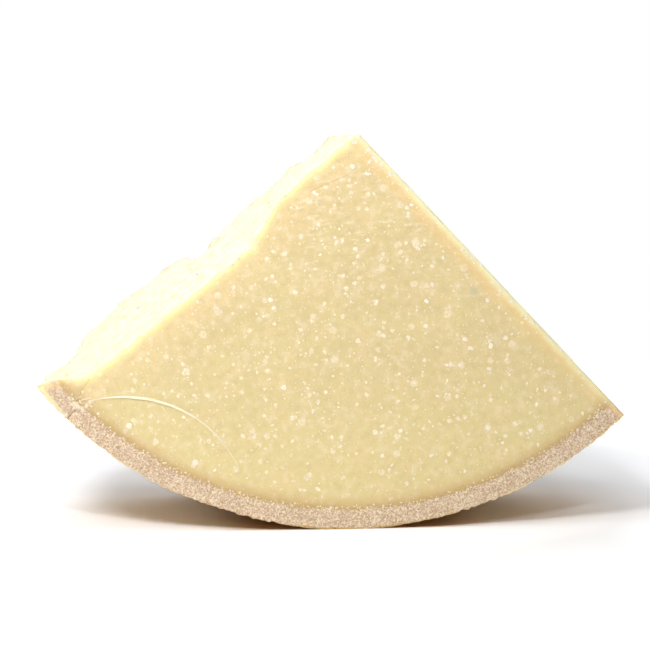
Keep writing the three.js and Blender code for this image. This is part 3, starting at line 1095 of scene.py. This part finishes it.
def makeSliver():
    centreX, centreZ = sliver["centre"]
    radius, thick, proud = sliver["radius"], sliver["thick"], sliver["proud"]
    bm = bmesh.new()
    profile = [(0.0, sliver["root"]), (0.0, -0.05), (-0.55 * thick, -0.8 * proud), (-thick, -proud)]
    profile += [(-thick * 0.9, -0.1 * proud), (-thick * 0.7, sliver["root"])]
    outline = [(centreX, frontY + depth, centreZ + radius + change) for change, depth in profile]
    turn = math.radians(sliver["from"])
    sweep = math.radians(sliver["to"] - sliver["from"])
    spinProfile(bm, outline, (centreX, 0.0, centreZ), turn, sweep, sliver["steps"])
    bmesh.ops.remove_doubles(bm, verts=bm.verts, dist=0.0001)
    places = np.array([vert.co for vert in bm.verts])
    change = noiseRelief(places, sliver["wobble"], 2, 14.0)
    for vert, wobble in zip(bm.verts, change):
        outward = Vector((vert.co.x - centreX, 0.0, vert.co.z - centreZ))
        share = min(1.0, max(0.0, (math.atan2(outward.x, outward.z) - turn) / sweep))
        taper = min(1.0, share / sliver["rises"]) * (1.0 - share) ** sliver["fading"]
        taper = max(taper, sliver["thinnest"])
        distance = radius + (outward.length - radius) * taper + wobble * taper
        level = vert.co.y - frontY
        level = level * taper if level < 0 else level
        vert.co = Vector((centreX, frontY + level, centreZ)) + outward.normalized() * distance
    bmesh.ops.recalc_face_normals(bm, faces=bm.faces)
    piece = newObject("sliver", bm)
    finishMesh(piece, sliver["edgeAngle"])
    return piece


# Fine shavings stuck to the cut face: where each runs, across and up, and its half thickness
shavings = {
    "strands": [
        ([(-72.3, 121.8), (-71.3, 119.6), (-70.0, 117.4), (-69.0, 115.8), (-69.3, 114.9)], 0.55),
        ([(-142.0, 70.6), (-140.6, 71.8), (-138.8, 71.6), (-137.2, 72.6)], 0.34),
        ([(-140.4, 69.0), (-138.4, 69.8), (-136.8, 69.2), (-134.6, 70.2)], 0.30),
        ([(-137.8, 70.6), (-135.6, 71.6), (-133.6, 71.2)], 0.26),
        ([(-144.6, 71.4), (-143.2, 72.8), (-141.2, 73.0)], 0.34),
        ([(-146.2, 69.0), (-144.8, 70.2), (-143.4, 69.4)], 0.34),
        ([(-142.6, 68.2), (-141.0, 67.2), (-139.0, 67.8)], 0.28),
        ([(-23.0, 70.0), (-21.4, 67.6), (-20.6, 64.0)], 0.24),
    ],
    "lift": 0.25,
    "paler": 0.8,
    "edgeAngle": 60.0,
}


def makeShavings():
    curve = bpy.data.curves.new("shavings", "CURVE")
    curve.dimensions = "3D"
    curve.bevel_depth = 1.0
    curve.bevel_resolution = 1
    curve.resolution_u = 4
    curve.use_fill_caps = True
    for points, thickness in shavings["strands"]:
        spline = curve.splines.new("NURBS")
        spline.points.add(len(points) - 1)
        spline.order_u = 3
        spline.use_endpoint_u = True
        for step, ((across, up), point) in enumerate(zip(points, spline.points)):
            run = step / (len(points) - 1)
            point.co = (across, frontY - shavings["lift"] * math.sin(math.pi * run), up, 1.0)
            point.radius = thickness * (0.45 + 0.55 * math.sin(math.pi * run))
    drawn = addObject("drawnShavings", curve)
    piece = addObject("shavings", bake(drawn))
    bpy.data.objects.remove(drawn)
    finishMesh(piece, shavings["edgeAngle"])
    return piece


view = {
    "aim": (-13.9, frontY, 109.5),
    "distance": 900.0,
    "pitch": 5.5,  # degrees down
    "yaw": 5.0,  # degrees from the left
    "focal": 1710.0 / 650.0,  # focal length in picture widths
    "sensor": 36.0,
}
lights = {
    "key": {"towards": (-0.52, -0.84, 0.86), "distance": 0.8, "size": 0.2, "power": 3.85},
    "top": {"towards": (-0.4, -0.32, 1.0), "distance": 1.1, "size": 0.8, "power": 5.0},
    "left": {"towards": (-1.0, 0.1, 0.7), "distance": 1.2, "size": 0.6, "power": 1.5},
    "right": {"towards": (1.0, -0.2, 0.9), "distance": 1.2, "size": 0.6, "power": 0.65},
    "back": {"towards": (0.25, 0.75, 0.8), "distance": 1.2, "size": 1.1, "power": 4.9},
}
studio = {
    "sky": 0.2,
    "skyColour": (0.92, 0.96, 1.0),
    "middle": 0.08,  # height that the lamps point at, in metres as their distances and sizes are
    "floorRadius": 0.75,
    "floor": (0.93, 0.935, 0.955),
    # painted shade: the floor darkens to brown-orange close to where the rind touches it, as its shadow with
    # warm light bounced from the rind
    "paintedContactShade": (0.64, 0.44, 0.24),  # the floor close to where the rind touches it
    "floorGlow": (200.0, 420.0),  # millimetres out: where the floor's glow starts, and where it is full
    "frontGlow": 0.12,
    "shadowBow": 0.003,  # the shadow's front edge bows backwards by this, times its distance sideways squared
    "shadowEnd": (124.0, 165.0),  # from here to here on the right the shadow gives way to the glow
}


def makeCamera():
    camera = addObject("camera", bpy.data.cameras.new("camera"))
    pitch, yaw = math.radians(view["pitch"]), math.radians(view["yaw"])
    forward = Vector((math.sin(yaw) * math.cos(pitch), math.cos(yaw) * math.cos(pitch), -math.sin(pitch)))
    camera.location = (Vector(view["aim"]) - forward * view["distance"]) * metres
    camera.rotation_euler = forward.to_track_quat("-Z", "Y").to_euler()
    camera.data.sensor_width = view["sensor"]
    camera.data.lens = view["focal"] * view["sensor"]
    camera.data.clip_end = 50.0
    bpy.context.scene.camera = camera


def makeFloor():
    bm = bmesh.new()
    bmesh.ops.create_circle(bm, cap_ends=True, segments=96, radius=studio["floorRadius"])
    floor = newObject("floor", bm)
    shader = Shader("pale_floor")
    across, depth, _ = shader.parts(shader.place)
    bowed = depth - across * across * studio["shadowBow"]
    ahead = shader.soft(bowed, frontY + 1.0, frontY - 10.0)
    strip = ahead * shader.soft(bowed, frontY - 80.0, frontY - 40.0)
    beside = shader.soft(across, *studio["shadowEnd"])
    frontGlow = strip.math("MAXIMUM", beside) * studio["frontGlow"]
    farGlow = shader.soft(shader.length(shader.place), *studio["floorGlow"]) * 0.6
    glow = shader.mix(frontGlow.math("MAXIMUM", farGlow), (0.0, 0.0, 0.0), (1.0, 1.0, 1.0))
    # painted shade on the floor near the contact, tinted by light bounced from the rind
    contactShading = shader.soft(across.math("ABSOLUTE"), 80.0, 40.0) * shader.soft(depth, frontY, frontY + 4.0)
    contactShading = contactShading * shader.soft(depth, backY, 0.0)
    base = shader.mix(contactShading, studio["floor"], studio["paintedContactShade"])
    floor.data.materials.append(shader.finish({
        "Base Color": base, "Roughness": 0.9, "Emission Color": glow, "Emission Strength": 1.0,
    }))


def makeLights():
    for name, settings in lights.items():
        lamp = bpy.data.lights.new(name, "AREA")
        lamp.shape = "DISK"
        lamp.size = settings["size"]
        lamp.energy = settings["power"]
        piece = addObject(name, lamp)
        towards = Vector(settings["towards"]).normalized()
        piece.location = towards * settings["distance"] + Vector((0.0, 0.0, studio["middle"]))
        piece.rotation_euler = towards.to_track_quat("Z", "Y").to_euler()


def makeWorld():
    world = bpy.data.worlds.new("studio")
    world.use_nodes = True
    nodes, links = world.node_tree.nodes, world.node_tree.links
    background = nodes["Background"]
    background.inputs["Color"].default_value = (*studio["skyColour"], 1.0)
    background.inputs["Strength"].default_value = studio["sky"]
    white = nodes.new("ShaderNodeBackground")  # what the camera sees behind the floor
    white.inputs["Color"].default_value = (1.0, 1.0, 1.0, 1.0)
    path = nodes.new("ShaderNodeLightPath")
    choice = nodes.new("ShaderNodeMixShader")
    links.new(path.outputs["Is Camera Ray"], choice.inputs[0])
    links.new(background.outputs[0], choice.inputs[1])
    links.new(white.outputs[0], choice.inputs[2])
    links.new(choice.outputs[0], nodes["World Output"].inputs[0])
    bpy.context.scene.world = world
    bpy.context.scene.view_settings.view_transform = "Standard"


def dress(piece, material):
    piece.data.materials.clear()
    piece.data.materials.append(material)
    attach(piece, "root")


makeCamera()
makeFloor()
makeLights()
makeWorld()
print("studio done")
brokenFace = Side(brokenSide, brokenRelief)
cutFace = Side(cutSide, cutRelief)
body = makeChunk(brokenFace, cutFace)
cheese = cheeseMaterial("cheese", cheeseLook["subsurface"])
crumb = cheeseMaterial("cheese_crumb", 0.0)  # light would pass right through what is this small
crystal = crystalMaterial()
dress(body, cheese)
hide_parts("cheese_chunk")
print("body done")
skin = Surface(body, brokenFace, cutFace)
for kind, material in (("rind_grains", crumb), ("crystals", crystal), ("specks", crystal)):
    dress(scatterLumps(kind, skin), material)
rindGrains = bpy.data.objects["rind_grains"]
writeAttribute(rindGrains, "ofRind", np.ones(len(rindGrains.data.vertices)))
writeAttribute(rindGrains, "fromCut", np.full(len(rindGrains.data.vertices), farInside))
print("lumps done")
bits = makeCrumbs(brokenFace, cutFace)
bitPlaces = meshPlaces(bits) / metres
atCrack, whiter, elsewhere = crumbs["whiter"]
pale = np.where(bitPlaces[:, 0] < atCrack, whiter, elsewhere)
rightOf, above, white = crumbs["white"]
writeAttribute(bits, "white", white * (bitPlaces[:, 0] > rightOf) * (bitPlaces[:, 2] > above))
for piece, paler in ((bits, pale), (makeSliver(), sliver["paler"]), (makeShavings(), shavings["paler"])):
    count = len(piece.data.vertices)
    writeAttribute(piece, "pale", np.broadcast_to(paler, count))
    writeAttribute(piece, "fromBroken", np.full(count, crumbs["paleness"]))
    writeAttribute(piece, "fromCut", np.full(count, farInside))
    dress(piece, crumb)
print("crumbs and shavings done")
